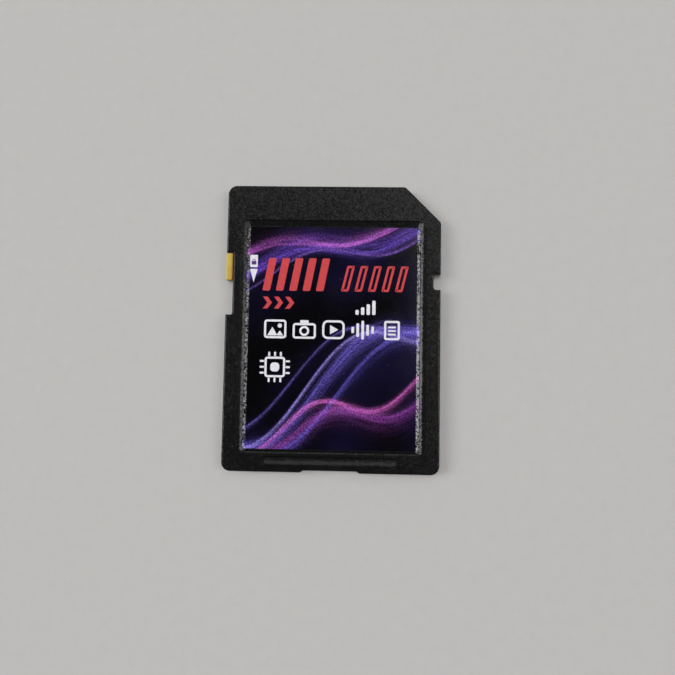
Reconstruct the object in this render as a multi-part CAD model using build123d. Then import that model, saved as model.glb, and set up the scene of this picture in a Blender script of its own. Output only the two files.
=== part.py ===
from build123d import *
from math import radians, tan
import os

# Full-size memory card. Millimetres. The origin is in the middle of the back face,
# +X points to the side of the cut corner, +Y to the contact edge, +Z out of the label face.

# Outside form
card_width = 24.0
card_length = 32.0
card_thickness = 2.1
corner_radius = 1.0
corner_cut = 4.0                  # each leg of the 45 degree corner
corner_cut_radius = 0.5
front_edge_round = 0.18
back_edge_round = 0.2
rail_width = 1.1                  # thinner guide edge along both long sides
rail_step = 0.7                   # height of the guide edge above the back face
rail_corner_radius = 0.6
rail_bevel = 0.1                  # along the outer lower edge of the rails

# Pull recess in the rear edge, and the finger groove beside it
recess_length = 6.6
recess_depth = 0.22
recess_slope = 0.4                # run of each sloped end
groove_length = 14.6
groove_width = 0.9
groove_depth = 0.17
groove_wall = 0.13                # run of the groove's steep front wall
groove_margin = 1.3               # rear edge to the groove's centre line

# Key notch in the right edge
key_notch_offset = 9.9            # contact edge to the notch
key_notch_width = 1.7
key_notch_depth = 0.8
key_notch_radius = 0.35

# Label pocket and label
pocket_side_margin = 1.55
pocket_front_margin = 3.88
pocket_rear_margin = 2.05
pocket_depth = 0.27
pocket_radius = 1.2
pocket_side_slope = 1.05          # run of the slope along each long side
pocket_side_angle = 20.0          # degrees, where the long slope leaves the floor
pocket_rim_angle = 6.0            # degrees, where it meets the face
pocket_rim_radius = 0.8           # between those two
pocket_crease = 0.3               # radius between the floor and the long slopes
pocket_wall_angle = 25.0          # degrees off upright, of the steep edge at the front and in the corners
pocket_front_slope = 0.67         # front edge to the floor, down the wall and a gentle slope
pocket_front_angle = 10.0         # degrees, of that slope
pocket_rear_slope = 0.3           # rear edge to the floor
pocket_rear_bevel = 0.2           # run of the bevel along the rear edge
pocket_rear_angle = 22.0          # degrees, of that bevel
mouth_slack = 0.04                # the steep edge stays this far outside the side and rear rims
label_thickness = 0.1
label_wing = 0.3                  # how far the film climbs each long slope
label_front_gap = 0.11
label_rear_gap = 0.17
label_radius = 0.4
glue_line = 0.01

# Covers and the room between them
seam_height = 1.3
seam_bevel = 0.06
room_side_wall = 0.4              # outside the room, inside the rail's step
room_front_wall = 0.8
room_rear_wall = 2.0
back_floor = 0.35
board_ledge = 0.6
support_rib_width = 0.6
support_rib_spacing = 8.0
lip_width = 0.25
lip_height = 0.2
lip_clearance = 0.05
post_radius = 0.5
post_clearance = 0.03
post_spacing = 16.4
post_front_offset = 3.0
post_rear_offset = 2.0

# Contacts, on the underside of the board
contact_depth = 0.7               # back face to the contact face
contact_thickness = 0.035
contact_margin = 0.1              # board showing round each contact in its window
contact_front_offset = 1.0        # contact edge to the contact
window_width = 1.8
window_length = 5.8
window_width_7 = 1.5
window_width_8 = 1.1
comb_rib_6_7 = 0.775
comb_rib_7_8 = 0.4
comb_left_wall = 0.6              # outside the last window, inside the rail's step
comb_right_wall = 0.625
comb_land = 0.6                   # plastic behind the windows
contact_9_shift = 1.5             # the contact beside the cut corner stands further back

# Circuit board and what it carries
board_thickness = 0.25
board_clearance = 0.1
chip_height = 0.55
chip_bevel = 0.06
chip_dot_radius = 0.35
chip_dot_inset = 1.0
chip_dot_depth = 0.04
roof_clearance = 0.065
flash_width = 12.0
flash_length = 18.0
flash_rear_offset = 0.7           # room's rear wall to the chip
controller_side = 5.0
controller_front_offset = 2.0     # room's front wall to the chip
passive_length = 1.0
passive_width = 0.5
capacitor_height = 0.5
resistor_height = 0.35
terminal_length = 0.25
terminal_proud = 0.015
passive_count = 4
passive_pitch = 1.1
passive_side_offset = 5.5         # middle of the card to each row
passive_front_offset = 2.6        # room's front wall to the first of a row

# Write-protect switch, in the left edge
switch_notch_offset = 7.65        # contact edge to the notch
switch_notch_length = 7.0
switch_notch_depth = 0.75
switch_notch_radius = 0.15
switch_wall = 0.4                 # plastic between the notch and the channel
switch_clearance = 0.05
switch_proud = 0.06               # tab outside the card's edge
tab_length = 3.05
tab_inset = 0.15                  # tab below the label face and above the rail's underside
tab_round = 0.12
neck_length = 2.45
neck_height = 0.45
flange_thickness = 0.4
flange_height = 0.75
flange_length = 4.25
detent_height = 0.1
detent_radius = 0.25
detent_clearance = 0.03
detent_scallop = 0.1              # depth of the two rest hollows in the channel's inner wall
bay_wall = 0.45                   # plastic between the channel and the room

# Cuts start this far outside the face that they break
overcut = 0.5

half_width = card_width / 2
half_length = card_length / 2
step_half_width = half_width - rail_width
pocket_half_width = half_width - pocket_side_margin
pocket_front = half_length - pocket_front_margin
pocket_rear = pocket_rear_margin - half_length
pocket_floor = card_thickness - pocket_depth
floor_half_width = pocket_half_width - pocket_side_slope
floor_front = pocket_front - pocket_front_slope
floor_rear = pocket_rear + pocket_rear_slope
film_half_width = floor_half_width + label_wing

board_bottom = contact_depth + contact_thickness
board_top = board_bottom + board_thickness
room_roof = board_top + max(chip_height, capacitor_height, resistor_height) + roof_clearance
room_half_width = step_half_width - room_side_wall
room_front = half_length - room_front_wall
room_rear = room_rear_wall - half_length
comb_rear = half_length - window_length - contact_9_shift - comb_land

# The switch is built in its unlocked place, at the contact end of its notch
rail_middle = (rail_step + card_thickness) / 2
notch_front = half_length - switch_notch_offset
notch_rear = notch_front - switch_notch_length
notch_floor = switch_notch_depth - half_width
tab_front = notch_front - switch_clearance
tab_middle = tab_front - tab_length / 2
switch_travel = switch_notch_length - tab_length - 2 * switch_clearance
channel_outer = notch_floor + switch_wall
flange_outer = channel_outer + switch_clearance
flange_inner = flange_outer + flange_thickness
channel_inner = flange_inner + detent_height + detent_clearance
channel_front = tab_middle + flange_length / 2 + switch_clearance
channel_rear = tab_middle - switch_travel - flange_length / 2 - switch_clearance
bay_inner = channel_inner + bay_wall
bay_front = channel_front + bay_wall
bay_rear = channel_rear - bay_wall


def rectangle(left, right, rear, front):
    """Rectangle between four edges."""
    return Pos((left + right) / 2, (rear + front) / 2) * Rectangle(right - left, front - rear)


def slab(shape, bottom, top):
    """Flat shape pulled up between two heights."""
    return extrude(Pos(0, 0, bottom) * shape, amount=top - bottom)


def nearest(corners, *places):
    """The corners that lie closest to the given places."""
    return [corners.sort_by_distance(place)[0] for place in places]


def card_outline():
    """Plan of the card: cut corner, round corners, pull recess in the rear edge."""
    mouth = recess_length / 2
    floor = mouth - recess_slope
    rear_left = (-half_width, -half_length)
    rear_right = (half_width, -half_length)
    front_left = (-half_width, half_length)
    cut_side = (half_width, half_length - corner_cut)
    cut_front = (half_width - corner_cut, half_length)
    recess_points = [
        (-mouth, -half_length),
        (-floor, recess_depth - half_length),
        (floor, recess_depth - half_length),
        (mouth, -half_length),
    ]
    edge = Polyline(rear_left, *recess_points, rear_right, cut_side, cut_front, front_left, close=True)
    plan = make_face(edge)
    plan = fillet(nearest(plan.vertices(), rear_left, rear_right, front_left), corner_radius)
    return fillet(nearest(plan.vertices(), cut_side, cut_front), corner_cut_radius)


def side_notch(mouth, floor, rear, front, radius):
    """Notch in a long edge, round at its two inner corners."""
    notch = rectangle(min(mouth, floor), max(mouth, floor), rear, front)
    return fillet(nearest(notch.vertices(), (floor, rear), (floor, front)), radius)


def notched_outline():
    """Plan of the card with the switch notch on the left and the key notch on the right."""
    key_front = half_length - key_notch_offset
    key_rear = key_front - key_notch_width
    key_floor = half_width - key_notch_depth
    plan = card_outline()
    plan -= side_notch(-half_width - overcut, notch_floor, notch_rear, notch_front, switch_notch_radius)
    return plan - side_notch(half_width + overcut, key_floor, key_rear, key_front, key_notch_radius)


def step_outline():
    """Plan of the full-thickness middle, between the two guide rails."""
    strip = rectangle(-step_half_width, step_half_width, -half_length - overcut, half_length + overcut)
    plan = card_outline() & strip
    rear_left = (-step_half_width, -half_length)
    rear_right = (step_half_width, -half_length)
    front_left = (-step_half_width, half_length)
    return fillet(nearest(plan.vertices(), rear_left, rear_right, front_left), rail_corner_radius)


def outer_form():
    """Solid card with its rails, notches and rounded edges."""
    plan = notched_outline()
    rail_side = rail_step + rail_bevel
    form = slab(plan, rail_side, card_thickness)
    form += extrude(Pos(0, 0, rail_side) * plan, amount=-rail_bevel, taper=45)
    form += slab(step_outline(), 0, rail_side)
    form = fillet(form.faces().sort_by(Axis.Z)[-1].outer_wire().edges(), front_edge_round)
    return fillet(form.faces().sort_by(Axis.Z)[0].outer_wire().edges(), back_edge_round)


def section_above(right_points, right_radii):
    """Section above a line across the card, given from the middle out and the same on both sides."""
    left_points = [(-x, z) for x, z in reversed(right_points)]
    line = FilletPolyline(*left_points, *right_points, radius=[*reversed(right_radii), *right_radii])
    reach, rim = right_points[-1]
    lid_height = card_thickness + overcut
    lid = Polyline((reach, rim), (reach, lid_height), (-reach, lid_height), (-reach, rim))
    return make_face(line.edges() + lid.edges())


def pocket_section():
    """Section across the pocket: flat floor and slopes that ease off towards the face."""
    steep = tan(radians(pocket_side_angle))
    shallow = tan(radians(pocket_rim_angle))
    knee_run = (pocket_depth - pocket_side_slope * shallow) / (steep - shallow)
    knee = (floor_half_width + knee_run, pocket_floor + knee_run * steep)
    rim = (half_width, card_thickness + (half_width - pocket_half_width) * shallow)
    return section_above([(floor_half_width, pocket_floor), knee, rim], [pocket_crease, pocket_rim_radius])


def film_section(lift):
    """Section above the film's underside or its face, which lies that far off the pocket's surface."""
    slope = radians(pocket_side_angle)
    foot = floor_half_width - lift * tan(slope / 2)
    floor = pocket_floor + lift
    rim = floor + (film_half_width - foot) * tan(slope)
    return section_above([(foot, floor), (film_half_width, rim)], [pocket_crease - lift])


def end_section():
    """Section along the pocket: gentle front slope, flat floor, steep rear slope under a bevelled rim."""
    lid_height = card_thickness + overcut
    front_rise = tan(radians(pocket_front_angle))
    rear_rise = tan(radians(pocket_rear_angle))
    front_end = floor_front + (lid_height - pocket_floor) / front_rise
    rear_end = pocket_rear - overcut / rear_rise
    rear_knee = (pocket_rear + pocket_rear_bevel, card_thickness - pocket_rear_bevel * rear_rise)
    edge = Polyline(
        (floor_rear, pocket_floor), (floor_front, pocket_floor), (front_end, lid_height),
        (rear_end, lid_height), rear_knee, close=True,
    )
    return make_face(edge)


def pocket_mouth():
    """Tapered space inside the pocket's outline, whose steep wall shows at the front and in the corners."""
    growth = pocket_depth * tan(radians(pocket_wall_angle))
    half = pocket_half_width + mouth_slack + growth
    rear = pocket_rear - mouth_slack - growth
    front = pocket_front + growth
    outline = RectangleRounded(2 * half, front - rear, pocket_radius + growth)
    outline = Pos(0, (front + rear) / 2, card_thickness + pocket_depth) * outline
    return extrude(outline, amount=-3 * pocket_depth, taper=pocket_wall_angle)


def along_card(section, rear, front):
    """Section across the card drawn out from rear to front."""
    return extrude(Pos(0, front, 0) * (Plane.XZ * section), amount=front - rear)


def label_pocket():
    """Recess of the label: four sloped sides under a mouth with round corners."""
    trough = along_card(pocket_section(), -half_length, half_length)
    ends = extrude(Plane.YZ * end_section(), amount=half_width, both=True)
    return trough & ends & pocket_mouth()


def finger_groove():
    """Groove with round ends that a nail catches: a steep front wall and a hollow ramp up to the rear."""
    middle = groove_margin - half_length
    front = middle + groove_width / 2
    rear = middle - groove_width / 2
    deepest = front - groove_wall
    bottom = card_thickness - groove_depth
    ramp_radius = ((deepest - rear) ** 2 + groove_depth ** 2) / (2 * groove_depth)
    steep_side = Polyline(
        (deepest, bottom), (front + groove_wall, card_thickness + groove_depth),
        (deepest, bottom + ramp_radius),
    )
    ramp = CenterArc((deepest, bottom + ramp_radius), ramp_radius, 180, 90)
    flat_side = Line((deepest, bottom + ramp_radius), (deepest - ramp_radius, bottom + ramp_radius))
    section = make_face(steep_side.edges() + flat_side.edges() + ramp.edges())
    plan = Pos(0, middle) * SlotOverall(groove_length, groove_width)
    trough = extrude(Plane.YZ * section, amount=groove_length, both=True)
    return trough & slab(plan, bottom - overcut, card_thickness + groove_depth)


def room_plan():
    """Plan of the room for the board, cut back at the corner and beside the switch."""
    plan = rectangle(-room_half_width, room_half_width, room_rear, room_front)
    cut_line = half_width + half_length - corner_cut - room_front_wall * 2 ** 0.5
    room_cut = room_half_width + room_front - cut_line
    plan = chamfer(nearest(plan.vertices(), (room_half_width, room_front)), room_cut)
    return plan - rectangle(-room_half_width - overcut, bay_inner, bay_rear, bay_front)


def inner_room():
    """Space for the board and its parts, with ledges and ribs left standing under the board."""
    plan = room_plan()
    well = offset(plan, amount=-board_ledge, kind=Kind.INTERSECTION)
    well -= rectangle(-half_width, half_width, comb_rear, half_length)
    for side in (-1, 1):
        middle = side * support_rib_spacing / 2
        well -= rectangle(middle - support_rib_width / 2, middle + support_rib_width / 2, -half_length, half_length)
    return slab(plan, board_bottom, room_roof) + slab(well, back_floor, board_bottom)


def switch_space():
    """T-shaped space of the switch: slit through the notch wall, channel, two rest hollows."""
    slit_half = neck_height / 2 + switch_clearance
    channel_half = flange_height / 2 + switch_clearance
    slit_plan = rectangle(notch_floor - overcut, channel_outer, notch_rear, notch_front)
    channel_plan = rectangle(channel_outer, channel_inner, channel_rear, channel_front)
    for rest in (tab_middle, tab_middle - switch_travel):
        hollow = Circle(detent_radius + detent_scallop)
        channel_plan += Pos(channel_inner - detent_radius, rest) * hollow
    slit = slab(slit_plan, rail_middle - slit_half, rail_middle + slit_half)
    return slit + slab(channel_plan, rail_middle - channel_half, rail_middle + channel_half)


def contact_row():
    """Middle and window width of each contact, by its number, from the cut corner to the switch side."""
    right_wide = step_half_width - comb_right_wall - window_width / 2
    left_edge_8 = comb_left_wall - step_half_width
    left_edge_7 = left_edge_8 + window_width_8 + comb_rib_7_8
    left_edge_6 = left_edge_7 + window_width_7 + comb_rib_6_7
    left_wide = left_edge_6 + window_width / 2
    wide_numbers = [9, 1, 2, 3, 4, 5, 6]
    pitch = (right_wide - left_wide) / (len(wide_numbers) - 1)
    row = {}
    for place, number in enumerate(wide_numbers):
        row[number] = (right_wide - place * pitch, window_width)
    row[7] = (left_edge_7 + window_width_7 / 2, window_width_7)
    row[8] = (left_edge_8 + window_width_8 / 2, window_width_8)
    return row


def contact_shift(number):
    """How far a contact stands back from the common line."""
    return contact_9_shift if number == 9 else 0


def contact_windows():
    """Slots from the contact edge through the back cover to the board."""
    windows = []
    for number, (middle, width) in contact_row().items():
        rear = half_length - window_length - contact_shift(number)
        window = rectangle(middle - width / 2, middle + width / 2, rear, half_length + overcut)
        windows.append(slab(window, -overcut, board_bottom))
    return windows


def lip_plan(growth):
    """Plan of the seam lip round the room, grown by its width or its rebate's width."""
    plan = room_plan()
    return offset(plan, amount=growth, kind=Kind.INTERSECTION) - plan


def hold_down_posts():
    """Posts under the front cover's roof that keep the board on its ledges."""
    posts = []
    for x in (-post_spacing / 2, post_spacing / 2):
        for y in (room_front - post_front_offset, room_rear + post_rear_offset):
            foot = Pos(x, y) * Circle(post_radius)
            posts.append(slab(foot, board_top + post_clearance, room_roof))
    return posts


def bevel_seam(cover):
    """Fine bevel round the outside of a cover where it meets the other one."""
    border = (Pos(0, 0, seam_height) * notched_outline()).wire()
    on_seam = [face for face in cover.faces().filter_by(Axis.Z) if abs(face.center().Z - seam_height) < glue_line]
    seam_face = ShapeList(on_seam).sort_by(SortBy.AREA)[-1]
    outside = [edge for edge in seam_face.edges() if border.distance_to(edge @ 0.5) < glue_line]
    return chamfer(outside, seam_bevel)


def covers():
    """Front and back cover: one hollow card parted at the seam, with a lip that locates the two halves."""
    card = outer_form() - label_pocket() - finger_groove()
    card = card - inner_room() - switch_space() - contact_windows()
    front = split(card, bisect_by=Plane.XY.offset(seam_height), keep=Keep.TOP)
    back = split(card, bisect_by=Plane.XY.offset(seam_height), keep=Keep.BOTTOM)
    rebate = slab(lip_plan(lip_width + lip_clearance), seam_height, seam_height + lip_height + lip_clearance)
    front = front - rebate + hold_down_posts()
    back = back + slab(lip_plan(lip_width), seam_height, seam_height + lip_height)
    return bevel_seam(front), bevel_seam(back)


def label():
    """Film on the pocket floor, with both long edges up the slopes."""
    film_rear = floor_rear + label_rear_gap
    film_front = floor_front - label_front_gap
    section = film_section(glue_line) - film_section(glue_line + label_thickness)
    plan = RectangleRounded(2 * film_half_width, film_front - film_rear, label_radius)
    plan = Pos(0, (film_front + film_rear) / 2) * plan
    return along_card(section, film_rear, film_front) & slab(plan, pocket_floor, card_thickness)


def write_protect_switch():
    """Tab in the notch, neck through the slit, and a flange with a detent bump in the channel."""
    tab_plan = rectangle(
        -half_width - switch_proud, notch_floor - switch_clearance, tab_front - tab_length, tab_front
    )
    tab = slab(tab_plan, rail_step + tab_inset, card_thickness - tab_inset)
    tab = fillet(tab.edges(), tab_round)
    neck_plan = rectangle(
        notch_floor - switch_clearance - tab_round, flange_outer + flange_thickness / 2,
        tab_middle - neck_length / 2, tab_middle + neck_length / 2,
    )
    neck = slab(neck_plan, rail_middle - neck_height / 2, rail_middle + neck_height / 2)
    flange_plan = rectangle(
        flange_outer, flange_inner, tab_middle - flange_length / 2, tab_middle + flange_length / 2
    )
    flange_plan += Pos(flange_inner + detent_height - detent_radius, tab_middle) * Circle(detent_radius)
    flange_plan -= rectangle(-half_width, flange_outer, notch_rear, notch_front)
    flange = slab(flange_plan, rail_middle - flange_height / 2, rail_middle + flange_height / 2)
    return tab + neck + flange


def circuit_board():
    """Board that fills the room in plan."""
    return slab(offset(room_plan(), amount=-board_clearance, kind=Kind.INTERSECTION), board_bottom, board_top)


def contact_pad(number):
    """Gold contact in its window, flat on the board's underside."""
    middle, width = contact_row()[number]
    half = width / 2 - contact_margin
    shift = contact_shift(number)
    rear = half_length - window_length + contact_margin - shift
    front = half_length - contact_front_offset - shift
    pad = rectangle(middle - half, middle + half, rear, front)
    return slab(pad, contact_depth, board_bottom)


def chip(width, length, middle):
    """Moulded chip on the board, with a dot at one corner."""
    package = slab(Pos(0, middle) * Rectangle(width, length), board_top, board_top + chip_height)
    package = chamfer(package.faces().sort_by(Axis.Z)[-1].edges(), chip_bevel)
    dot = Pos(chip_dot_inset - width / 2, middle + length / 2 - chip_dot_inset) * Circle(chip_dot_radius)
    return package - slab(dot, board_top + chip_height - chip_dot_depth, board_top + chip_height + overcut)


def passive(side, place, height):
    """Small two-ended part on the board, with a raised terminal at each end."""
    x = side * passive_side_offset
    y = room_front - passive_front_offset - place * passive_pitch
    body = slab(Pos(x, y) * Rectangle(passive_length, passive_width), board_top, board_top + height)
    terminal = Rectangle(terminal_length, passive_width + 2 * terminal_proud)
    for end in (-1, 1):
        terminal_x = x + end * (passive_length - terminal_length) / 2
        body += slab(Pos(terminal_x, y) * terminal, board_top, board_top + height + terminal_proud)
    return body


front_cover, back_cover = covers()
parts = {
    "front_cover": front_cover,
    "back_cover": back_cover,
    "label": label(),
    "write_protect_switch": write_protect_switch(),
    "circuit_board": circuit_board(),
    "flash_chip": chip(flash_width, flash_length, room_rear + flash_rear_offset + flash_length / 2),
    "controller_chip": chip(
        controller_side, controller_side, room_front - controller_front_offset - controller_side / 2
    ),
}
for number in sorted(contact_row()):
    parts[f"contact_pad_{number}"] = contact_pad(number)
for place in range(passive_count):
    parts[f"capacitor_{place + 1}"] = passive(1, place, capacitor_height)
    parts[f"resistor_{place + 1}"] = passive(-1, place, resistor_height)

os.makedirs("parts", exist_ok=True)
for name, shape in parts.items():
    export_step(shape, f"parts/{name}.step")
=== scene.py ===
"""Looks of a flat memory card: grained black covers, a printed film in a pocket, a yellow lock switch."""
import math

import bmesh
import bpy
from mathutils import Matrix, Vector


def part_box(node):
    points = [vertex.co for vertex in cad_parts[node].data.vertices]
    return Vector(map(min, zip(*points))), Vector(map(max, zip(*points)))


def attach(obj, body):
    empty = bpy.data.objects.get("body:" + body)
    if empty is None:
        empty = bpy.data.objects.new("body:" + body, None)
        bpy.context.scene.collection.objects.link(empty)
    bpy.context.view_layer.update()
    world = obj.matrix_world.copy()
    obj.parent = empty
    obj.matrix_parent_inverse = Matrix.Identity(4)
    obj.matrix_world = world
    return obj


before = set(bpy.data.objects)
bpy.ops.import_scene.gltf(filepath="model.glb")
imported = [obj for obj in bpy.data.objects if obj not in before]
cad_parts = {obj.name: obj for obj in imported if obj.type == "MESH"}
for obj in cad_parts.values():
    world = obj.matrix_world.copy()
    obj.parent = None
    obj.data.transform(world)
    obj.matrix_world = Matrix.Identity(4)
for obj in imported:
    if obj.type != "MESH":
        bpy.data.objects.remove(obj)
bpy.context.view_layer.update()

MM = 0.001

# Camera, as worked out from the card's own corners. Its turn takes the card's frame to the camera's,
# as an axis whose length is the angle in degrees. Near and far are in metres.
CAMERA_PLACE = Vector((3.34, -6.91, 82.14)) * MM
CAMERA_TURN = Vector((-4.184, -1.906, -0.938))
CAMERA_ANGLE = 50.0
CAMERA_NEAR = 0.001
CAMERA_FAR = 10.0

# Soft panel lamps: one above the card, one on each side, one over the contact end, and a dim one that
# fills the right border. Lean goes to the right and forward to the contact end, in degrees from straight
# above. Broad and tall are the panel's spread in degrees, seen from the card, and strength is the light
# that falls on a face turned to the lamp.
LAMP_DISTANCE = 2.0
TOP_LAMP = {"lean": -3.0, "forward": 4.0, "broad": 14.0, "tall": 14.0, "strength": 1.24}
LEFT_LAMP = {"lean": -39.0, "forward": 5.0, "broad": 20.0, "tall": 30.0, "strength": 1.28}
RIGHT_LAMP = {"lean": 33.0, "forward": 0.0, "broad": 9.0, "tall": 26.0, "strength": 0.46}
FRONT_LAMP = {"lean": 8.0, "forward": 26.0, "broad": 52.0, "tall": 24.0, "strength": 0.45}
RIGHT_GLOW = {"lean": 23.0, "forward": 4.0, "broad": 26.0, "tall": 35.0, "strength": 0.11}

# The room round the card, by height from the horizon at 0 to straight above at 1
WALL_LIGHT = 0.30
WALL_TOP = 0.16
CEILING_LIGHT = 0.03
CEILING_START = 0.62

# Floor, in metres
FLOOR_RADIUS = 1.5
FLOOR_SIDES = 96
FLOOR_GAP = 0.00002

# Places on the card, in millimetres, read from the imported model
label_low, label_high = (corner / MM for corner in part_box("label"))
switch_low, switch_high = (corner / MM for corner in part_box("write_protect_switch"))

# Label film, whose long edges curl up the slopes of its pocket as wings
FILM_THICKNESS = 0.10
WING_WIDTH = 0.32
WING_BLEND = 0.1
WING_START = label_high.x - WING_WIDTH
PRINT_LEVEL = label_low.z + FILM_THICKNESS

# Raised ink of the printed marks, whose foot is set a little into what it lies on
INK_HEIGHT = 0.012
INK_BITE = 0.004
CORNER_STEPS = 4
DISC_SIDES = 32

# Red gauge of slanted blocks: tall filled ones, then lower outlined ones
GAUGE_FOOT = 4.1
GAUGE_STEP = 1.5
GAUGE_WIDE = 0.85
GAUGE_LEAN = 0.7
GAUGE_STROKE = 0.26
GAUGE_ROUND = 0.16
FULL_BLOCKS = {"left": -7.9, "count": 5, "tall": 3.7}
OUTLINED_BLOCKS = {"left": 0.9, "count": 5, "tall": 2.9}

# Red arrows under the gauge
ARROW_LEFT = -7.55
ARROW_STEP = 1.25
ARROW_COUNT = 3
ARROW_MIDDLE = 2.75
ARROW_TALL = 1.35
ARROW_THICK = 0.52
ARROW_POINT = 0.50

# White marks; a bar's corners are rounded by a share of its shorter side
MARK_STROKE = 0.24
MARK_ROUND = 0.34
BAR_ROUND_SHARE = 0.35

# Row of pictograms: each shape's size, and its place from the pictogram's middle
MARK_ROW_LEFT = -6.35
MARK_ROW_STEP = 3.25
MARK_ROW_MIDDLE = -0.2
PICTURE_FRAME = {"wide": 2.5, "tall": 2.1}
PICTURE_SUN = {"aside": 0.5, "up": 0.38, "radius": 0.24}
PICTURE_HIGH_PEAK = {"aside": -0.32, "up": -0.26, "wide": 1.15, "tall": 0.95}
PICTURE_LOW_PEAK = {"aside": 0.52, "up": -0.45, "wide": 0.8, "tall": 0.57}
CAMERA_MARK_BODY = {"up": -0.18, "wide": 2.6, "tall": 1.75}
CAMERA_MARK_LENS = {"up": -0.18, "radius": 0.56}
CAMERA_MARK_HUMP = {"up": 0.86, "wide": 0.95, "tall": 0.32}
PLAY_FRAME = {"wide": 2.5, "tall": 2.1, "round_by": 0.6}
PLAY_TIP = {"aside": 0.08, "wide": 1.05, "tall": 0.92, "towards": "right"}
SOUND_TALLS = (0.7, 1.5, 2.1, 1.2, 0.8)
SOUND_WIDE = 0.3
SOUND_STEP = 0.55
PAGE_FRAME = {"wide": 1.75, "tall": 2.15, "round_by": 0.25}
PAGE_TOP_LINE = {"up": 0.35, "wide": 0.85, "tall": 0.2}
PAGE_LINE_COUNT = 3
PAGE_LINE_STEP = -0.4

# Rising bars
BARS_LEFT = 2.75
BARS_FOOT = 1.5
BARS_STEP = 0.62
BARS_WIDE = 0.38
BARS_TALL = (0.55, 0.85, 1.2, 1.6)

# Chip sign
CHIP_MARK_PLACE = Vector((-6.3, -4.45))
CHIP_MARK_SIDE = 2.3
CHIP_MARK_CORE = 1.0
CHIP_LEG_WIDE = 0.22
CHIP_LEG_LONG = 0.5
CHIP_LEG_GAP = 0.04
CHIP_LEG_STEP = 0.65
CHIP_LEG_COUNT = 3

# Lock sign beside the switch: a tile with a padlock on it, and a pointer under it
LOCK_MIDDLE = -8.92
LOCK_TILE_DROP = 0.05
LOCK_TILE_FOOT = (switch_low.y + switch_high.y) / 2 - LOCK_TILE_DROP
LOCK_TILE_WIDE = 0.86
LOCK_TILE_TALL = 1.4
LOCK_TILE_ROUND = 0.12
LOCK_POINTER_DROP = 0.95
LOCK_POINTER_TALL = 1.5
PADLOCK_WIDE = 0.52
PADLOCK_TALL = 0.42
PADLOCK_ROUND = 0.06
PADLOCK_DROP = 0.2
SHACKLE_RADIUS = 0.2
SHACKLE_SIDES = 24
SHACKLE_STROKE = 0.08
SHACKLE_LIFT = 0.03

# Degrees that bring a tip from up to each way; the turn goes clockwise
TIP_TURNS = {"up": 0, "down": 180, "right": 90}


def srgb(red, green, blue):
    """A colour written as it looks, from 0 to 255, in the linear values that shaders use."""
    def linear(level):
        share = level / 255
        if share <= 0.04045:
            return share / 12.92
        return ((share + 0.055) / 1.055) ** 2.4
    return linear(red), linear(green), linear(blue), 1.0


def grey(level):
    return level, level, level, 1.0


# Most of a noise falls in this span
NOISE_SPAN = (0.3, 0.7)

# Mould grain: how high a facet's draw is for a pale speck, and the slow clouds
SPECK_DRAW = 0.7
GRAIN_CLOUDS = {"per_mm": 0.22, "detail": 3.0, "roughness": 0.55}

# Marks of handling: hairlines stretched along the card, and rubbed patches
HAIRLINE_ALONG = 0.05
HAIRLINE_THROUGH = 0.3
HAIRLINE_NOISE = {"per_mm": 1.0, "detail": 3.0, "roughness": 0.6}
HAIRLINE_SPAN = (0.62, 0.74)
RUBBED_NOISE = {"per_mm": 0.35, "detail": 4.0, "roughness": 0.6}
RUBBED_SPAN = (0.42, 0.68)

# Printed light lines: how much faster one fades on its sharp side, and the silky strands along it
SHARP_SIDE = 2.6
GLOW_POWER = 3.0
STRAND_ALONG = 0.08
STRAND_NOISE = {"per_mm": 2.2, "detail": 3.0, "roughness": 0.65}
STRAND_SPAN = (0.33, 0.67)
STRAND_LEVELS = (0.15, 1.35)

# Cover plastic; roughness runs from untouched to rubbed
COVER_GRAIN = {"Grains per mm": 7.0, "Slope": 0.062}
COVER_LINES = {"Lines per mm": 2.2}
COVER_DUST = {"Motes per mm": 0.9, "Share": 0.08, "Mote size": 0.06}
COVER_BLACK = srgb(9, 9, 10)
COVER_CLOUD = srgb(14, 14, 15)
COVER_SPECK = srgb(21, 21, 24)
COVER_SCUFF = srgb(50, 50, 52)
COVER_SCUFF_SHARE = 0.2
COVER_MOTE = srgb(110, 108, 104)
COVER_MOTE_SHARE = 0.3
COVER_ROUGHNESS = (0.22, 0.19)
COVER_SPECULAR = 0.35

# Label film; its facets lean little on the flat and much on the wings
FILM_HAZE = {"per_mm": 0.13, "detail": 1.0, "roughness": 0.5}
FILM_HAZE_SPAN = (0.35, 0.8)
FILM_BLACK = srgb(2, 2, 4)
FILM_VIOLET = srgb(14, 9, 40)
PRINT_DOTS = {"per_mm": 5.6, "detail": 0.0}
PRINT_DOT_SPAN = (0.28, 0.72)
PRINT_DOT_LEVELS = (0.45, 1.55)
FILM_DUST = {"Motes per mm": 1.3, "Share": 0.10, "Mote size": 0.05}
FILM_MOTE = srgb(150, 146, 150)
FILM_MOTE_SHARE = 0.4
FILM_LINES = {"Lines per mm": 3.0}
FILM_ROUGHNESS = (0.10, 0.14)
FILM_GRAINS = 8.0
FILM_SLOPES = (0.004, 0.12)
FILM_SPECULAR = 0.62

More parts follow.
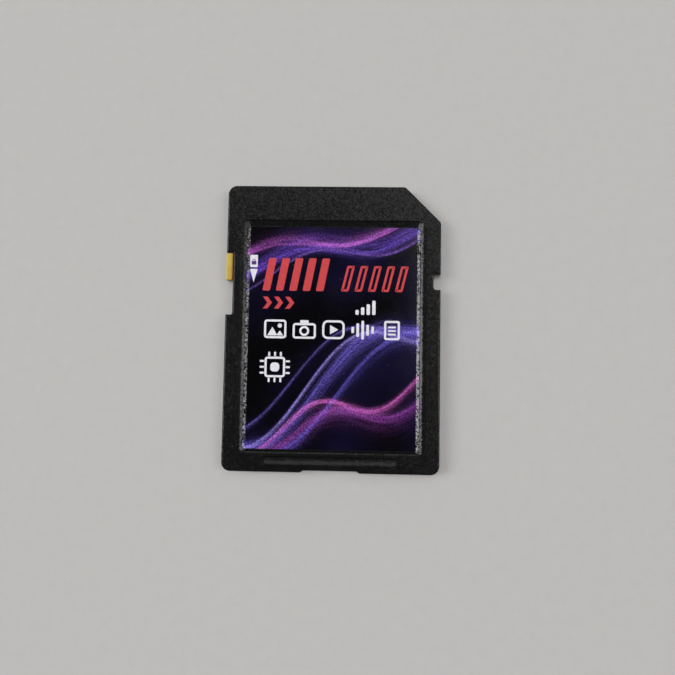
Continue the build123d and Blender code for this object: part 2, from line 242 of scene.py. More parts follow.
# Printed light lines: base, slope, swing, wave, phase, width, strength and colour
PRINTED_RIBBONS = (
    (-5.6, 0.62, 2.6, 0.30, 0.4, -1.80, 0.75, srgb(98, 82, 186)),
    (-5.2, 0.58, 2.9, 0.30, 0.9, -0.50, 0.90, srgb(140, 122, 210)),
    (-7.8, 0.68, 2.2, 0.30, -0.2, -1.10, 0.70, srgb(86, 74, 180)),
    (-3.4, 0.55, 2.5, 0.30, 1.3, -0.40, 0.55, srgb(110, 92, 190)),
    (-9.2, 0.36, 1.6, 0.44, 2.3, -0.70, 0.95, srgb(186, 88, 172)),
    (-10.4, 0.30, 1.3, 0.44, 1.6, -1.40, 0.65, srgb(140, 62, 156)),
    (8.6, 0.25, 1.1, 0.36, 2.9, 1.70, 0.75, srgb(104, 70, 184)),
    (9.8, 0.20, 0.8, 0.36, 3.9, 0.85, 0.80, srgb(176, 92, 190)),
    (7.9, 0.28, 1.3, 0.36, 2.4, 0.36, 0.60, srgb(124, 88, 190)),
)

# Inks, each as a full and a thin layer; the skin's depth is in millimetres
RED_INK = (srgb(206, 66, 68), srgb(184, 56, 60))
WHITE_INK = (srgb(232, 230, 236), srgb(212, 210, 220))
VIOLET_INK = (srgb(70, 40, 110), srgb(84, 52, 126))
INK_LAYER = {"per_mm": 3.0, "detail": 3.0, "roughness": 0.6}
INK_LAYER_SPAN = (0.35, 0.7)
INK_ROUGHNESS = (0.30, 0.42)
INK_SKIN = {"per_mm": 9.0, "detail": 1.0, "roughness": 0.5}
INK_SKIN_DEPTH = 0.002
INK_IOR = 1.47

# Switch plastic; the painted shade on its inner side and the paler outer edge are measured from the
# switch's outer side
SWITCH_GRAIN = {"Grains per mm": 4.5, "Slope": 0.10}
SWITCH_LINES = {"Lines per mm": 5.0}
SWITCH_YELLOW = srgb(201, 176, 67)
SWITCH_CLOUD = srgb(190, 164, 60)
SWITCH_GRIME = srgb(150, 118, 38)
SWITCH_GRIME_SHARE = 0.3
SWITCH_PAINTED_SHADE = srgb(158, 104, 26)
SWITCH_PAINTED_SHADE_START = 0.40
SWITCH_PAINTED_SHADE_FULL = 0.76
SWITCH_PAINTED_SHADE_SHARE = 0.85
SWITCH_PALE = srgb(222, 204, 132)
SWITCH_PALE_WIDTH = 0.20
SWITCH_PALE_SHARE = 0.6
SWITCH_ROUGHNESS = (0.46, 0.38)
SWITCH_IOR = 1.5

# Circuit board
BOARD_WEAVE = {"Scale": 1.6, "Distortion": 0.6}
BOARD_WEAVE_DEPTH = 0.003
BOARD_GREEN = srgb(14, 40, 30)
BOARD_PALE_GREEN = srgb(24, 60, 44)
BOARD_SHEEN = {"per_mm": 1.2}
BOARD_ROUGHNESS = (0.26, 0.40)

# Gold pads; roughness runs from untouched to wiped
GOLD_LINES = {"Lines per mm": 6.0}
GOLD_CLOUDS = {"per_mm": 1.4, "detail": 3.0, "roughness": 0.6}
GOLD_CLOUD_DEPTH = 0.002
GOLD_DEEP = srgb(222, 178, 92)
GOLD_PALE = srgb(236, 200, 120)
GOLD_WIPED = srgb(190, 148, 76)
GOLD_ROUGHNESS = (0.24, 0.42)

# Chips, capacitors and resistors; the ceramic's share is that of the length between its caps
RESIN_GRAIN = {"Grains per mm": 8.0, "Slope": 0.12}
RESIN_BLACK = srgb(28, 28, 29)
RESIN_SPECK = srgb(46, 46, 47)
RESIN_ROUGHNESS = (0.5, 0.65)
CERAMIC_SHARE = 0.5
CERAMIC_MOTTLE = {"per_mm": 6.0, "detail": 3.0, "roughness": 0.6}
CERAMIC_MOTTLE_DEPTH = 0.004
CERAMIC_ROUGHNESS = (0.3, 0.5)
CAPACITOR_BROWNS = (srgb(150, 118, 84), srgb(172, 140, 104))
RESISTOR_BLACKS = (srgb(24, 24, 26), srgb(38, 38, 40))
TIN_GREYS = (srgb(188, 190, 194), srgb(214, 215, 216))

# Floor finish
FLOOR_MOTTLE = {"per_mm": 0.9, "detail": 3.0, "roughness": 0.6}
FLOOR_GREYS = (srgb(184, 182, 180), srgb(192, 190, 188))
FLOOR_ROUGHNESS = (0.7, 0.8)
FLOOR_SPECULAR = 0.2


# Node helpers

def add_node(tree, kind, inputs=None, **settings):
    """Adds a node. Each input takes a plain value or another node's output."""
    node = tree.nodes.new("ShaderNode" + kind)
    for name, value in settings.items():
        setattr(node, name, value)
    for name, value in (inputs or {}).items():
        socket = node.inputs[name]
        if isinstance(value, bpy.types.NodeSocket):
            tree.links.new(value, socket)
        else:
            socket.default_value = value
    return node


def calc(tree, operation, first, second=0.0, third=0.0):
    node = add_node(tree, "Math", {0: first, 1: second, 2: third}, operation=operation)
    return node.outputs[0]


def times(tree, first, second):
    return calc(tree, "MULTIPLY", first, second)


def vector_calc(tree, operation, inputs, output=0):
    return add_node(tree, "VectorMath", inputs, operation=operation).outputs[output]


def mix_colour(tree, share, first, second, blend="MIX"):
    node = add_node(
        tree, "Mix", {0: share, 6: first, 7: second},
        data_type="RGBA", blend_type=blend, clamp_factor=True,
    )
    return node.outputs[2]


def rescale(tree, value, span, levels, smooth=False):
    """Brings a value from a span to levels, and no further than their ends."""
    low, high = span
    first, last = levels
    node = add_node(
        tree, "MapRange",
        {"Value": value, "From Min": low, "From Max": high, "To Min": first, "To Max": last},
        interpolation_type="SMOOTHSTEP" if smooth else "LINEAR", clamp=True,
    )
    return node.outputs[0]


def mask(tree, value, span, smooth=False):
    """0 at the low end of the span and 1 at its high end."""
    return rescale(tree, value, span, (0.0, 1.0), smooth)


def between(tree, share, levels):
    """Runs from the first level to the last as the share goes from 0 to 1."""
    return rescale(tree, share, (0.0, 1.0), levels)


def millimetres(tree):
    """The point on the piece, in millimetres of the card's own frame."""
    place = add_node(tree, "TexCoord").outputs["Object"]
    return vector_calc(tree, "SCALE", {0: place, "Scale": 1 / MM})


def apart(tree, point):
    """The point's X, Y and Z."""
    return add_node(tree, "SeparateXYZ", {0: point}).outputs


def noise(tree, point, per_mm, detail=2.0, roughness=0.5):
    return add_node(
        tree, "TexNoise",
        {"Vector": point, "Scale": per_mm, "Detail": detail, "Roughness": roughness},
    ).outputs[0]


def bump(tree, height, depth):
    """Normals of a relief, whose depth is in millimetres."""
    return add_node(tree, "Bump", {"Height": height, "Distance": depth * MM, "Strength": 1.0}).outputs[0]


def start_group(name, inputs, outputs, directions=()):
    """An empty node group with the named sockets: floats, and outputs that are directions."""
    group = bpy.data.node_groups.new(name, "ShaderNodeTree")
    for socket in inputs:
        group.interface.new_socket(name=socket, in_out="INPUT", socket_type="NodeSocketFloat")
    for socket in outputs:
        group.interface.new_socket(name=socket, in_out="OUTPUT", socket_type="NodeSocketFloat")
    for socket in directions:
        group.interface.new_socket(name=socket, in_out="OUTPUT", socket_type="NodeSocketVector")
    entry = group.nodes.new("NodeGroupInput")
    leave = group.nodes.new("NodeGroupOutput")
    return group, entry.outputs, leave.inputs


def use_group(tree, group, inputs):
    return add_node(tree, "Group", inputs, node_tree=group).outputs


def start_material(name):
    """A material with one Principled shader; returns the material, its tree and the shader's sockets."""
    material = bpy.data.materials.new(name)
    material.use_nodes = True
    tree = material.node_tree
    tree.nodes.clear()
    shader = add_node(tree, "BsdfPrincipled")
    add_node(tree, "OutputMaterial", {"Surface": shader.outputs[0]})
    return material, tree, shader.inputs


def wire(tree, output, socket):
    tree.links.new(output, socket)


# Shared surface effects

def make_moulded_grain():
    """Skin that a spark-eroded mould leaves: tiny facets that lean at random, pale specks and slow clouds.

    The leans are about the given slope on average, and a few come near three times that.
    """
    group, entry, leave = start_group(
        "moulded_grain", ["Grains per mm", "Slope"], ["Specks", "Cloud"], directions=["Normal"]
    )
    point = millimetres(group)
    facets = add_node(group, "TexVoronoi", {"Vector": point, "Scale": entry["Grains per mm"]}).outputs
    draw = vector_calc(
        group, "MULTIPLY_ADD", {0: facets["Color"], 1: (2.0, 2.0, 2.0), 2: (-1.0, -1.0, -1.0)}
    )
    size = vector_calc(group, "LENGTH", {0: draw}, output="Value")
    lean = vector_calc(group, "SCALE", {0: draw, "Scale": times(group, size, entry["Slope"])})
    turned = add_node(
        group, "VectorTransform", {0: lean}, vector_type="VECTOR", convert_from="OBJECT", convert_to="WORLD"
    ).outputs[0]
    surface = add_node(group, "NewGeometry").outputs["Normal"]
    leaning = vector_calc(group, "ADD", {0: surface, 1: turned})
    wire(group, vector_calc(group, "NORMALIZE", {0: leaning}), leave["Normal"])
    third_draw = add_node(group, "SeparateColor", {"Color": facets["Color"]}).outputs[2]
    wire(group, mask(group, third_draw, (SPECK_DRAW, 1.0)), leave["Specks"])
    wire(group, noise(group, point, **GRAIN_CLOUDS), leave["Cloud"])
    return group


def make_settled_dust():
    """Sparse pale motes, as a mask."""
    group, entry, leave = start_group("settled_dust", ["Motes per mm", "Share", "Mote size"], ["Dust"])
    point = millimetres(group)
    cells = add_node(group, "TexVoronoi", {"Vector": point, "Scale": entry["Motes per mm"]}).outputs
    draw = add_node(group, "SeparateColor", {"Color": cells["Color"]}).outputs[0]
    chosen = calc(group, "LESS_THAN", draw, entry["Share"])
    near = calc(group, "LESS_THAN", cells["Distance"], entry["Mote size"])
    wire(group, times(group, chosen, near), leave["Dust"])
    return group


def make_handling_marks():
    """Faint rubbed patches and long hairlines from being pushed in and out of slots."""
    group, entry, leave = start_group("handling_marks", ["Lines per mm"], ["Hairlines", "Rubbed"])
    point = millimetres(group)
    stretch = add_node(
        group, "CombineXYZ", {0: entry["Lines per mm"], 1: HAIRLINE_ALONG, 2: HAIRLINE_THROUGH}
    ).outputs[0]
    streaks = noise(group, vector_calc(group, "MULTIPLY", {0: point, 1: stretch}), **HAIRLINE_NOISE)
    wire(group, mask(group, streaks, HAIRLINE_SPAN, smooth=True), leave["Hairlines"])
    patches = noise(group, point, **RUBBED_NOISE)
    wire(group, mask(group, patches, RUBBED_SPAN, smooth=True), leave["Rubbed"])
    return group


def make_light_ribbon():
    """A glowing band that waves across the print: brightest on its line, silky with strands along it.

    It fades slowly above its line and fast below, or the other way round if its width is negative.
    """
    group, entry, leave = start_group(
        "light_ribbon", ["Base", "Slope", "Swing", "Wave", "Phase", "Width"], ["Glow"]
    )
    place = apart(group, millimetres(group))
    turn = calc(group, "MULTIPLY_ADD", place["X"], entry["Wave"], entry["Phase"])
    swing = times(group, calc(group, "SINE", turn), entry["Swing"])
    line = calc(group, "MULTIPLY_ADD", place["X"], entry["Slope"], entry["Base"])
    beside = calc(group, "SUBTRACT", place["Y"], calc(group, "ADD", line, swing))
    ratio = calc(group, "DIVIDE", beside, entry["Width"])
    sharp_side = calc(group, "LESS_THAN", ratio, 0.0)
    ratio = times(group, ratio, calc(group, "MULTIPLY_ADD", sharp_side, SHARP_SIDE - 1, 1.0))
    squared = calc(group, "POWER", calc(group, "ABSOLUTE", ratio), 2.0)
    fade = calc(group, "DIVIDE", 1.0, calc(group, "ADD", squared, 1.0))
    strand_place = add_node(
        group, "CombineXYZ", {0: times(group, place["X"], STRAND_ALONG), 1: beside, 2: entry["Phase"]}
    ).outputs[0]
    strands = rescale(group, noise(group, strand_place, **STRAND_NOISE), STRAND_SPAN, STRAND_LEVELS)
    wire(group, times(group, calc(group, "POWER", fade, GLOW_POWER), strands), leave["Glow"])
    return group


moulded_grain = make_moulded_grain()
settled_dust = make_settled_dust()
handling_marks = make_handling_marks()
light_ribbon = make_light_ribbon()


# Materials

def cover_plastic():
    """Black moulded plastic with a spark-eroded skin that glints where the lamps meet a slope."""
    material, tree, shader = start_material("cover_plastic")
    grain = use_group(tree, moulded_grain, COVER_GRAIN)
    marks = use_group(tree, handling_marks, COVER_LINES)
    dust = use_group(tree, settled_dust, COVER_DUST)
    black = mix_colour(tree, grain["Cloud"], COVER_BLACK, COVER_CLOUD)
    grained = mix_colour(tree, grain["Specks"], black, COVER_SPECK)
    worn = mix_colour(tree, times(tree, marks["Hairlines"], COVER_SCUFF_SHARE), grained, COVER_SCUFF)
    dusty = mix_colour(tree, times(tree, dust["Dust"], COVER_MOTE_SHARE), worn, COVER_MOTE)
    wire(tree, dusty, shader["Base Color"])
    wire(tree, between(tree, marks["Rubbed"], COVER_ROUGHNESS), shader["Roughness"])
    wire(tree, grain["Normal"], shader["Normal"])
    shader["Specular IOR Level"].default_value = COVER_SPECULAR
    return material


def label_film():
    """Glossy film over a violet print of light lines, smooth on the flat and grained up its wings."""
    material, tree, shader = start_material("label_film")
    point = millimetres(tree)
    veil = mask(tree, noise(tree, point, **FILM_HAZE), FILM_HAZE_SPAN, smooth=True)
    colour = mix_colour(tree, veil, FILM_BLACK, FILM_VIOLET)
    dots = rescale(tree, noise(tree, point, **PRINT_DOTS), PRINT_DOT_SPAN, PRINT_DOT_LEVELS)
    for base, slope, swing, wave, phase, width, strength, tint in PRINTED_RIBBONS:
        ribbon = use_group(tree, light_ribbon, {
            "Base": base, "Slope": slope, "Swing": swing, "Wave": wave, "Phase": phase, "Width": width,
        })
        glow = times(tree, times(tree, ribbon["Glow"], dots), strength)
        colour = mix_colour(tree, glow, colour, tint, blend="SCREEN")
    dust = use_group(tree, settled_dust, FILM_DUST)
    dusty = mix_colour(tree, times(tree, dust["Dust"], FILM_MOTE_SHARE), colour, FILM_MOTE)
    wire(tree, dusty, shader["Base Color"])
    marks = use_group(tree, handling_marks, FILM_LINES)
    wire(tree, between(tree, marks["Rubbed"], FILM_ROUGHNESS), shader["Roughness"])
    aside = calc(tree, "ABSOLUTE", apart(tree, point)["X"])
    facet_slope = rescale(tree, aside, (WING_START - WING_BLEND, WING_START), FILM_SLOPES)
    grain = use_group(tree, moulded_grain, {"Grains per mm": FILM_GRAINS, "Slope": facet_slope})
    wire(tree, grain["Normal"], shader["Normal"])
    shader["Specular IOR Level"].default_value = FILM_SPECULAR
    return material


def printed_ink(name, full, thin):
    """Screen-printed ink in a slightly uneven layer, duller where it is thin."""
    material, tree, shader = start_material(name)
    point = millimetres(tree)
    thinness = mask(tree, noise(tree, point, **INK_LAYER), INK_LAYER_SPAN)
    wire(tree, mix_colour(tree, thinness, full, thin), shader["Base Color"])
    wire(tree, between(tree, thinness, INK_ROUGHNESS), shader["Roughness"])
    wire(tree, bump(tree, noise(tree, point, **INK_SKIN), INK_SKIN_DEPTH), shader["Normal"])
    shader["IOR"].default_value = INK_IOR
    return material


def switch_plastic():
    """Yellow satin plastic: grubby in patches, with painted shade browning its inner side where it sits in
    shadow against the card, and paler towards its outer edge.
    """
    material, tree, shader = start_material("switch_plastic")
    grain = use_group(tree, moulded_grain, SWITCH_GRAIN)
    marks = use_group(tree, handling_marks, SWITCH_LINES)
    yellow = mix_colour(tree, grain["Cloud"], SWITCH_YELLOW, SWITCH_CLOUD)
    grubby = mix_colour(tree, times(tree, marks["Rubbed"], SWITCH_GRIME_SHARE), yellow, SWITCH_GRIME)
    across = apart(tree, millimetres(tree))["X"]
    # Painted shade: the colour turns brown towards the inner side, where the switch sits in shadow against
    # the card
    painted_shade_span = (switch_low.x + SWITCH_PAINTED_SHADE_START, switch_low.x + SWITCH_PAINTED_SHADE_FULL)
    inner_shade_share = rescale(tree, across, painted_shade_span, (0.0, SWITCH_PAINTED_SHADE_SHARE), smooth=True)
    with_painted_shade = mix_colour(tree, inner_shade_share, grubby, SWITCH_PAINTED_SHADE)
    pale_span = (switch_low.x, switch_low.x + SWITCH_PALE_WIDTH)
    outer = rescale(tree, across, pale_span, (SWITCH_PALE_SHARE, 0.0), smooth=True)
    wire(tree, mix_colour(tree, outer, with_painted_shade, SWITCH_PALE), shader["Base Color"])
    wire(tree, between(tree, grain["Specks"], SWITCH_ROUGHNESS), shader["Roughness"])
    wire(tree, grain["Normal"], shader["Normal"])
    shader["IOR"].default_value = SWITCH_IOR
    return material


def board_laminate():
    """Dark green solder mask over woven glass, showing the weave faintly."""
    material, tree, shader = start_material("board_laminate")
    point = millimetres(tree)
    threads = [
        add_node(tree, "TexWave", {"Vector": point, **BOARD_WEAVE}, bands_direction=way).outputs[1]
        for way in ("X", "Y")
    ]
    weave = times(tree, *threads)
    wire(tree, mix_colour(tree, weave, BOARD_GREEN, BOARD_PALE_GREEN), shader["Base Color"])
    sheen = noise(tree, point, **BOARD_SHEEN)
    wire(tree, rescale(tree, sheen, NOISE_SPAN, BOARD_ROUGHNESS), shader["Roughness"])
    wire(tree, bump(tree, weave, BOARD_WEAVE_DEPTH), shader["Normal"])
    return material


def contact_gold():
    """Hard gold plate with wipe tracks left along the card by the slot's springs."""
    material, tree, shader = start_material("contact_gold")
    marks = use_group(tree, handling_marks, GOLD_LINES)
    cloud = noise(tree, millimetres(tree), **GOLD_CLOUDS)
    gold = mix_colour(tree, cloud, GOLD_DEEP, GOLD_PALE)
    wire(tree, mix_colour(tree, marks["Hairlines"], gold, GOLD_WIPED), shader["Base Color"])
    wire(tree, between(tree, marks["Hairlines"], GOLD_ROUGHNESS), shader["Roughness"])
    wire(tree, bump(tree, cloud, GOLD_CLOUD_DEPTH), shader["Normal"])
    shader["Metallic"].default_value = 1.0
    return material


def chip_resin():
    """Black filled moulding resin with a fine sandy skin."""
    material, tree, shader = start_material("chip_resin")
    grain = use_group(tree, moulded_grain, RESIN_GRAIN)
    wire(tree, mix_colour(tree, grain["Specks"], RESIN_BLACK, RESIN_SPECK), shader["Base Color"])
    wire(tree, rescale(tree, grain["Cloud"], NOISE_SPAN, RESIN_ROUGHNESS), shader["Roughness"])
    wire(tree, grain["Normal"], shader["Normal"])
    return material


def ceramic_with_tin(name, nodes, body_colours):
    """Ceramic with tinned caps at both ends along the card's width, for nodes in one column."""
    material, tree, shader = start_material(name)
    low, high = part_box(nodes[0])
    middle = (low.x + high.x) / 2 / MM
    half_body = (high.x - low.x) / MM * CERAMIC_SHARE / 2
    point = millimetres(tree)
    away = calc(tree, "ABSOLUTE", calc(tree, "SUBTRACT", apart(tree, point)["X"], middle))
    cap = calc(tree, "GREATER_THAN", away, half_body)
    mottle = noise(tree, point, **CERAMIC_MOTTLE)
    body = mix_colour(tree, mottle, *body_colours)
    tin = mix_colour(tree, mottle, *TIN_GREYS)
    wire(tree, mix_colour(tree, cap, body, tin), shader["Base Color"])
    wire(tree, cap, shader["Metallic"])
    wire(tree, rescale(tree, mottle, NOISE_SPAN, CERAMIC_ROUGHNESS), shader["Roughness"])
    wire(tree, bump(tree, mottle, CERAMIC_MOTTLE_DEPTH), shader["Normal"])
    return material


def pale_floor():
    """Pale grey table, barely mottled."""
    material, tree, shader = start_material("pale_floor")
    mottle = noise(tree, millimetres(tree), **FLOOR_MOTTLE)
    wire(tree, mix_colour(tree, mottle, *FLOOR_GREYS), shader["Base Color"])
    wire(tree, rescale(tree, mottle, NOISE_SPAN, FLOOR_ROUGHNESS), shader["Roughness"])
    shader["Specular IOR Level"].default_value = FLOOR_SPECULAR
    return material


def nodes_called(word):
    return sorted(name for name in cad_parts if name.startswith(word))


def finish_solids():
    """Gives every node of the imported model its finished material."""
    finishes = {
        "cover_plastic": cover_plastic(),
        "label_film": label_film(),
        "switch_plastic": switch_plastic(),
        "board_laminate": board_laminate(),
        "contact_gold": contact_gold(),
        "chip_resin": chip_resin(),
        "capacitor_body": ceramic_with_tin("capacitor_body", nodes_called("capacitor"), CAPACITOR_BROWNS),
        "resistor_body": ceramic_with_tin("resistor_body", nodes_called("resistor"), RESISTOR_BLACKS),
    }
    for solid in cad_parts.values():
        for slot in solid.material_slots:
            slot.material = finishes[slot.material.name.split(".")[0]]


# Flat shapes of ink, modelled in millimetres about the origin

def deselect_all():
    if bpy.context.object and bpy.context.object.mode != "OBJECT":
        bpy.ops.object.mode_set(mode="OBJECT")
    bpy.ops.object.select_all(action="DESELECT")


def start_block(wide, tall):
    deselect_all()
    bpy.ops.mesh.primitive_plane_add(size=1)
    bpy.ops.object.mode_set(mode="EDIT")
    bpy.ops.transform.resize(value=(wide, tall, 1))


def start_disc(radius, sides=DISC_SIDES):
    deselect_all()
    bpy.ops.mesh.primitive_circle_add(radius=radius, vertices=sides, fill_type="NGON")
    bpy.ops.object.mode_set(mode="EDIT")


def select_points(chosen):
    """Selects the points of the shape in edit mode for which chosen(place) is true."""
    bpy.ops.mesh.select_mode(type="VERT")
    bpy.ops.mesh.select_all(action="DESELECT")
    shape = bmesh.from_edit_mesh(bpy.context.object.data)
    for point in shape.verts:
        point.select_set(chosen(point.co))
    shape.select_flush(True)
    bmesh.update_edit_mesh(bpy.context.object.data)


def slant(lean):
    select_points(lambda place: place.y > 0)
    bpy.ops.transform.translate(value=(lean, 0, 0))
    bpy.ops.mesh.select_all(action="SELECT")


def round_corners(radius):
    bpy.ops.mesh.select_all(action="SELECT")
    bpy.ops.mesh.bevel(offset=radius, segments=CORNER_STEPS, affect="VERTICES")


def hollow_out(wall):
    """Leaves only a band of the given width along the shape's edge."""
    bpy.ops.mesh.select_mode(type="FACE")
    bpy.ops.mesh.select_all(action="SELECT")
    bpy.ops.mesh.inset(thickness=wall)
    bpy.ops.mesh.delete(type="FACE")


def apply_place():
    bpy.ops.object.transform_apply(location=True, rotation=True, scale=True)


def lay_ink(x, y, layer=0):
    """Thickens the flat shape, sets it into the film or the ink under it and brings it to metres."""
    bpy.ops.mesh.select_mode(type="FACE")
    bpy.ops.mesh.select_all(action="SELECT")
    bpy.ops.mesh.extrude_region_move(TRANSFORM_OT_translate={"value": (0, 0, INK_HEIGHT)})
    bpy.ops.mesh.select_all(action="SELECT")
    bpy.ops.mesh.normals_make_consistent(inside=False)
    foot = PRINT_LEVEL - INK_BITE + layer * (INK_HEIGHT - INK_BITE)
    bpy.ops.transform.translate(value=(x, y, foot))
    bpy.ops.object.mode_set(mode="OBJECT")
    shape = bpy.context.object
    shape.scale = (MM, MM, MM)
    apply_place()
    return shape


def copy_of(shape):
    """A copy of a laid shape with its own mesh, left selected alone."""
    deselect_all()
    shape.select_set(True)
    bpy.context.view_layer.objects.active = shape
    bpy.ops.object.duplicate(linked=False)
    return bpy.context.object


def repeat_shape(shape, count, step_x=0.0, step_y=0.0):
    """The laid shape and its copies, one step after another."""
    shapes = [shape]
    for number in range(1, count):
        shapes.append(copy_of(shape))
        bpy.ops.transform.translate(value=(number * step_x * MM, number * step_y * MM, 0))
        apply_place()
    return shapes


def repeat_round(shapes, x, y):
    """The laid shapes and their copies on the other three sides of a middle."""
    everything = list(shapes)
    for quarter in (1, 2, 3):
        for shape in shapes:
            everything.append(copy_of(shape))
            bpy.ops.transform.rotate(
                value=quarter * math.pi / 2, orient_axis="Z", center_override=(x * MM, y * MM, 0)
            )
            apply_place()
    return everything


def join_print(name, shapes, ink):
    """Joins laid shapes into one printed piece that rides on the card."""
    deselect_all()
    for shape in shapes:
        shape.select_set(True)
    bpy.context.view_layer.objects.active = shapes[0]
    bpy.ops.object.join()
    piece = bpy.context.object
    piece.name = name
    piece.data.name = name
    piece.data.materials.clear()
    piece.data.materials.append(ink)
    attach(piece, "card")


# Printed marks

def gauge():
    """A row of slanted blocks, filled at first and then only outlined."""
    shapes = []
    for blocks in (FULL_BLOCKS, OUTLINED_BLOCKS):
        start_block(GAUGE_WIDE, blocks["tall"])
        slant(GAUGE_LEAN)
        round_corners(GAUGE_ROUND)
        if blocks is OUTLINED_BLOCKS:
            hollow_out(GAUGE_STROKE)
        first = lay_ink(blocks["left"] + GAUGE_WIDE / 2, GAUGE_FOOT + blocks["tall"] / 2)
        shapes += repeat_shape(first, blocks["count"], step_x=GAUGE_STEP)
    return shapes


def arrows():
    """Short chevrons that point along the gauge."""
    start_block(ARROW_THICK, ARROW_TALL)
    bpy.ops.mesh.subdivide(number_cuts=1)
    select_points(lambda place: abs(place.y) < ARROW_TALL / 4)
    bpy.ops.transform.translate(value=(ARROW_POINT, 0, 0))
    return repeat_shape(lay_ink(ARROW_LEFT, ARROW_MIDDLE), ARROW_COUNT, step_x=ARROW_STEP)


def outlined_box(x, y, wide, tall, up=0.0, round_by=MARK_ROUND):
    start_block(wide, tall)
    round_corners(round_by)
    hollow_out(MARK_STROKE)
    return lay_ink(x, y + up)


def bar(x, y, wide, tall, aside=0.0, up=0.0):
    start_block(wide, tall)
    round_corners(min(wide, tall) * BAR_ROUND_SHARE)
    return lay_ink(x + aside, y + up)


def dot(x, y, radius, aside=0.0, up=0.0):
    start_disc(radius)
    return lay_ink(x + aside, y + up)


def ring(x, y, radius, up=0.0):
    start_disc(radius)
    hollow_out(MARK_STROKE)
    return lay_ink(x, y + up)


def triangle(x, y, wide, tall, aside=0.0, up=0.0, towards="up"):
    """A filled triangle whose tip points up, down or right."""
    start_block(wide, tall)
    select_points(lambda place: place.y > 0)
    bpy.ops.mesh.merge(type="CENTER")
    bpy.ops.mesh.select_all(action="SELECT")
    bpy.ops.transform.rotate(
        value=math.radians(TIP_TURNS[towards]), orient_axis="Z", center_override=(0, 0, 0)
    )
    return lay_ink(x + aside, y + up)


def picture_mark(x, y):
    return [
        outlined_box(x, y, **PICTURE_FRAME),
        dot(x, y, **PICTURE_SUN),
        triangle(x, y, **PICTURE_HIGH_PEAK),
        triangle(x, y, **PICTURE_LOW_PEAK),
    ]


def camera_mark(x, y):
    return [
        outlined_box(x, y, **CAMERA_MARK_BODY),
        ring(x, y, **CAMERA_MARK_LENS),
        bar(x, y, **CAMERA_MARK_HUMP),
    ]


def play_mark(x, y):
    return [
        outlined_box(x, y, **PLAY_FRAME),
        triangle(x, y, **PLAY_TIP),
    ]


def sound_mark(x, y):
    middle = (len(SOUND_TALLS) - 1) / 2
    return [
        bar(x, y, SOUND_WIDE, tall, aside=(number - middle) * SOUND_STEP)
        for number, tall in enumerate(SOUND_TALLS)
    ]


def page_mark(x, y):
    lines = repeat_shape(bar(x, y, **PAGE_TOP_LINE), PAGE_LINE_COUNT, step_y=PAGE_LINE_STEP)
    return [outlined_box(x, y, **PAGE_FRAME)] + lines


def mark_row():
    shapes = []
    for number, mark in enumerate((picture_mark, camera_mark, play_mark, sound_mark, page_mark)):
        shapes += mark(MARK_ROW_LEFT + number * MARK_ROW_STEP, MARK_ROW_MIDDLE)
    return shapes


def rising_bars():
    return [
        bar(BARS_LEFT, BARS_FOOT, BARS_WIDE, tall, aside=number * BARS_STEP, up=tall / 2)
        for number, tall in enumerate(BARS_TALL)
    ]


def chip_mark():
    """An outlined square with a solid core and a few short legs on each side."""
    x, y = CHIP_MARK_PLACE
    reach = CHIP_MARK_SIDE / 2 + CHIP_LEG_LONG / 2 + CHIP_LEG_GAP
    first_leg = bar(x, y, CHIP_LEG_WIDE, CHIP_LEG_LONG, aside=-CHIP_LEG_STEP, up=reach)
    far_legs = repeat_shape(first_leg, CHIP_LEG_COUNT, step_x=CHIP_LEG_STEP)
    core = bar(x, y, CHIP_MARK_CORE, CHIP_MARK_CORE)
    return [outlined_box(x, y, CHIP_MARK_SIDE, CHIP_MARK_SIDE), core] + repeat_round(far_legs, x, y)


def lock_tile():
    """White tile and pointer beside the switch."""
    start_block(LOCK_TILE_WIDE, LOCK_TILE_TALL)
    round_corners(LOCK_TILE_ROUND)
    tile = lay_ink(LOCK_MIDDLE, LOCK_TILE_FOOT + LOCK_TILE_TALL / 2)
    pointer = triangle(
        LOCK_MIDDLE, LOCK_TILE_FOOT, LOCK_TILE_WIDE, LOCK_POINTER_TALL,
        up=-LOCK_POINTER_DROP, towards="down",
    )
    return [tile, pointer]


def padlock():
    """Small closed padlock printed on the tile."""
    middle = LOCK_TILE_FOOT + LOCK_TILE_TALL / 2
    start_block(PADLOCK_WIDE, PADLOCK_TALL)
    round_corners(PADLOCK_ROUND)
    case = lay_ink(LOCK_MIDDLE, middle - PADLOCK_DROP, layer=1)
    start_disc(SHACKLE_RADIUS, SHACKLE_SIDES)
    hollow_out(SHACKLE_STROKE)
    bpy.ops.mesh.select_all(action="SELECT")
    bpy.ops.mesh.bisect(plane_co=(0, 0, 0), plane_no=(0, 1, 0), clear_inner=True)
    shackle = lay_ink(LOCK_MIDDLE, middle + SHACKLE_LIFT, layer=1)
    return [case, shackle]


def print_label():
    red = printed_ink("red_ink", *RED_INK)
    white = printed_ink("white_ink", *WHITE_INK)
    violet = printed_ink("violet_ink", *VIOLET_INK)
    join_print("gauge_print", gauge(), red)
    join_print("arrow_print", arrows(), red)
    join_print("pictogram_print", mark_row(), white)
    join_print("rising_bars_print", rising_bars(), white)
    join_print("chip_mark_print", chip_mark(), white)
    join_print("lock_tile_print", lock_tile(), white)
    join_print("padlock_print", padlock(), violet)


# Stage

def lay_floor():
    deselect_all()
    bpy.ops.mesh.primitive_circle_add(
        radius=FLOOR_RADIUS, vertices=FLOOR_SIDES, fill_type="NGON", location=(0, 0, -FLOOR_GAP)
    )
    floor = bpy.context.object
    floor.name = "floor"
    floor.data.materials.append(pale_floor())


def panel_side(spread):
    """The side of a lamp's panel that spreads over the given degrees, seen from the card."""
    return 2 * LAMP_DISTANCE * math.tan(math.radians(spread / 2))


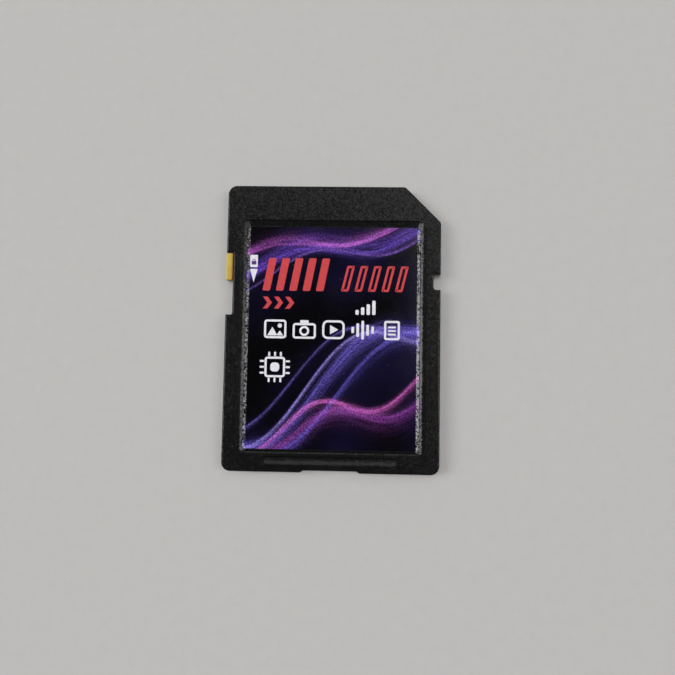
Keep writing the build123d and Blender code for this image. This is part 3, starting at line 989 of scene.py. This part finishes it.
def hang_lamp(name, lean, forward, broad, tall, strength):
    """A far panel lamp that faces the card.

    Its breadth is level, so a panel at the card's side is broad along the card.
    """
    lamp = bpy.data.lights.new(name, "AREA")
    lamp.shape = "RECTANGLE"
    lamp.size = panel_side(broad)
    lamp.size_y = panel_side(tall)
    lamp.energy = math.pi * LAMP_DISTANCE ** 2 * strength
    holder = bpy.data.objects.new(name, lamp)
    bpy.context.scene.collection.objects.link(holder)
    away = Vector((math.tan(math.radians(lean)), math.tan(math.radians(forward)), 1.0)).normalized()
    holder.location = away * LAMP_DISTANCE
    holder.rotation_euler = away.to_track_quat("Z", "Y").to_euler()
    return holder


def light_room():
    """Pale walls near the floor's level and a dim ceiling."""
    world = bpy.data.worlds.new("room")
    world.use_nodes = True
    tree = world.node_tree
    tree.nodes.clear()
    rise = apart(tree, add_node(tree, "TexCoord").outputs["Generated"])["Z"]
    ceiling = mask(tree, rise, (WALL_TOP, CEILING_START), smooth=True)
    colour = mix_colour(tree, ceiling, grey(WALL_LIGHT), grey(CEILING_LIGHT))
    background = add_node(tree, "Background", {"Color": colour, "Strength": 1.0})
    add_node(tree, "OutputWorld", {"Surface": background.outputs[0]})
    bpy.context.scene.world = world


def place_camera():
    camera = bpy.data.cameras.new("camera")
    camera.sensor_fit = "HORIZONTAL"
    camera.angle = math.radians(CAMERA_ANGLE)
    camera.clip_start = CAMERA_NEAR
    camera.clip_end = CAMERA_FAR
    holder = bpy.data.objects.new("camera", camera)
    bpy.context.scene.collection.objects.link(holder)
    turn = Matrix.Rotation(math.radians(CAMERA_TURN.length), 3, CAMERA_TURN.normalized())
    holder.matrix_world = Matrix.Translation(CAMERA_PLACE) @ turn.transposed().to_4x4()
    bpy.context.scene.camera = holder


finish_solids()
print_label()
lay_floor()

# The film would mirror the top lamp, so gloss doesn't see that one
hang_lamp("top_lamp", **TOP_LAMP).visible_glossy = False
hang_lamp("left_lamp", **LEFT_LAMP)
hang_lamp("right_lamp", **RIGHT_LAMP)
hang_lamp("front_lamp", **FRONT_LAMP)
hang_lamp("right_glow", **RIGHT_GLOW)
light_room()
place_camera()
bpy.context.scene.view_settings.view_transform = "Standard"
